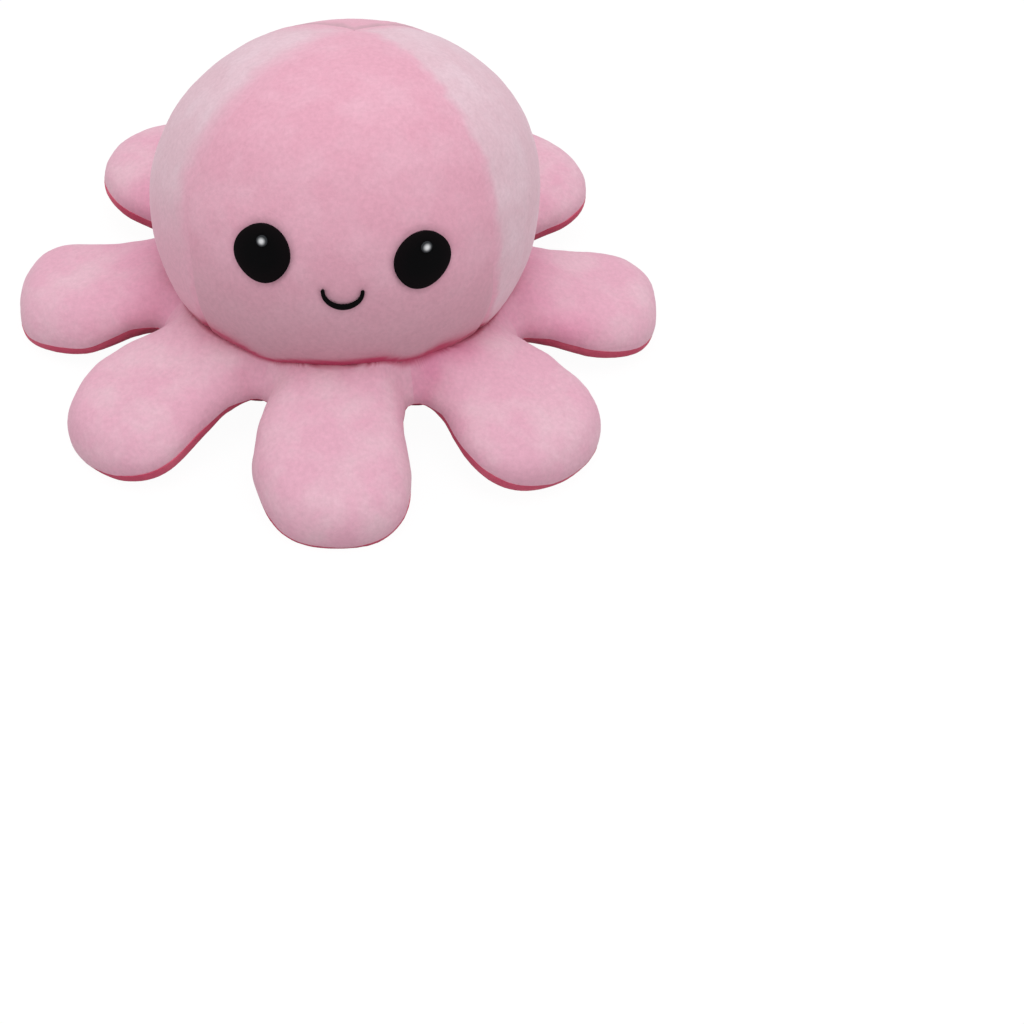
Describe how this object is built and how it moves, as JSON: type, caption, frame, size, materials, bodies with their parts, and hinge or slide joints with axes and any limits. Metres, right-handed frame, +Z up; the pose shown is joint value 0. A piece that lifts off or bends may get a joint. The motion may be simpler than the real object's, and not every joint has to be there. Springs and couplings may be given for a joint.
{
  "type": "plush octopus",
  "caption": "Plush octopus that turns inside out: a round stuffed head over a pocket, on a skirt of stuffed tentacles that bend at their roots.",
  "frame": {"origin": "on the floor, under the middle of the toy", "axes": "+Z up, the smiling face looks along -Y, +X to the right of someone facing the face"},
  "size_m": [0.1986, 0.1972, 0.1018],
  "materials": {
    "pale_cloth": "short brushed pile, soft sheen",
    "pale_side_cloth": "short brushed pile with its nap the other way, looks paler",
    "rose_cloth": "short brushed pile, soft sheen",
    "rose_side_cloth": "short brushed pile with its nap the other way",
    "filling": "loose polyester fibre",
    "dark_thread": "satin stitch in shiny thread",
    "glint_thread": "satin stitch in shiny thread"
  },
  "bodies": {
    "body": {"face_panel": "pale_cloth", "right_side_panel": "pale_side_cloth", "back_panel": "pale_cloth", "left_side_panel": "pale_side_cloth", "face_lining": "rose_cloth", "right_side_lining": "rose_side_cloth", "back_lining": "rose_cloth", "left_side_lining": "rose_side_cloth", "head_filling": "filling", "skirt_top_cloth": "pale_cloth", "skirt_filling": "filling", "skirt_bottom_cloth": "rose_cloth", "left_eye": "dark_thread", "left_eye_glint": "glint_thread", "right_eye": "dark_thread", "right_eye_glint": "glint_thread", "smile": "dark_thread", "lining_left_eye": "dark_thread", "lining_left_eye_glint": "glint_thread", "lining_right_eye": "dark_thread", "lining_right_eye_glint": "glint_thread", "lining_frown": "dark_thread"},
    "front_tentacle": {"front_tentacle_top_cloth": "pale_cloth", "front_tentacle_filling": "filling", "front_tentacle_bottom_cloth": "rose_cloth"},
    "front_right_tentacle": {"front_right_tentacle_top_cloth": "pale_cloth", "front_right_tentacle_filling": "filling", "front_right_tentacle_bottom_cloth": "rose_cloth"},
    "right_tentacle": {"right_tentacle_top_cloth": "pale_cloth", "right_tentacle_filling": "filling", "right_tentacle_bottom_cloth": "rose_cloth"},
    "back_right_tentacle": {"back_right_tentacle_top_cloth": "pale_cloth", "back_right_tentacle_filling": "filling", "back_right_tentacle_bottom_cloth": "rose_cloth"},
    "back_tentacle": {"back_tentacle_top_cloth": "pale_cloth", "back_tentacle_filling": "filling", "back_tentacle_bottom_cloth": "rose_cloth"},
    "back_left_tentacle": {"back_left_tentacle_top_cloth": "pale_cloth", "back_left_tentacle_filling": "filling", "back_left_tentacle_bottom_cloth": "rose_cloth"},
    "left_tentacle": {"left_tentacle_top_cloth": "pale_cloth", "left_tentacle_filling": "filling", "left_tentacle_bottom_cloth": "rose_cloth"},
    "front_left_tentacle": {"front_left_tentacle_top_cloth": "pale_cloth", "front_left_tentacle_filling": "filling", "front_left_tentacle_bottom_cloth": "rose_cloth"}
  },
  "joints": [
    {"name": "front_bend", "type": "hinge", "parent": "body", "child": "front_tentacle", "pos_m": [0, -0.062, 0.0175], "axis": [-1, 0, 0], "range_deg": [-30, 60], "stiffness_Nm_per_rad": 0.05},
    {"name": "front_right_bend", "type": "hinge", "parent": "body", "child": "front_right_tentacle", "pos_m": [0.04384, -0.04384, 0.01553], "axis": [-0.7054, -0.7054, 0.0695], "range_deg": [-30, 60], "stiffness_Nm_per_rad": 0.05},
    {"name": "right_bend", "type": "hinge", "parent": "body", "child": "right_tentacle", "pos_m": [0.062, 0, 0.01295], "axis": [0, -0.9993, 0.0375], "range_deg": [-30, 60], "stiffness_Nm_per_rad": 0.05},
    {"name": "back_right_bend", "type": "hinge", "parent": "body", "child": "back_right_tentacle", "pos_m": [0.04384, 0.04384, 0.01232], "axis": [0.7071, -0.7071, 0.0037], "range_deg": [-30, 60], "stiffness_Nm_per_rad": 0.05},
    {"name": "back_bend", "type": "hinge", "parent": "body", "child": "back_tentacle", "pos_m": [0, 0.062, 0.0123], "axis": [1, 0, 0], "range_deg": [-30, 60], "stiffness_Nm_per_rad": 0.05},
    {"name": "back_left_bend", "type": "hinge", "parent": "body", "child": "back_left_tentacle", "pos_m": [-0.04384, 0.04384, 0.01232], "axis": [0.7071, 0.7071, -0.0037], "range_deg": [-30, 60], "stiffness_Nm_per_rad": 0.05},
    {"name": "left_bend", "type": "hinge", "parent": "body", "child": "left_tentacle", "pos_m": [-0.062, 0, 0.01295], "axis": [0, 0.9993, -0.0375], "range_deg": [-30, 60], "stiffness_Nm_per_rad": 0.05},
    {"name": "front_left_bend", "type": "hinge", "parent": "body", "child": "front_left_tentacle", "pos_m": [-0.04384, -0.04384, 0.01553], "axis": [-0.7054, 0.7054, -0.0695], "range_deg": [-30, 60], "stiffness_Nm_per_rad": 0.05}
  ]
}
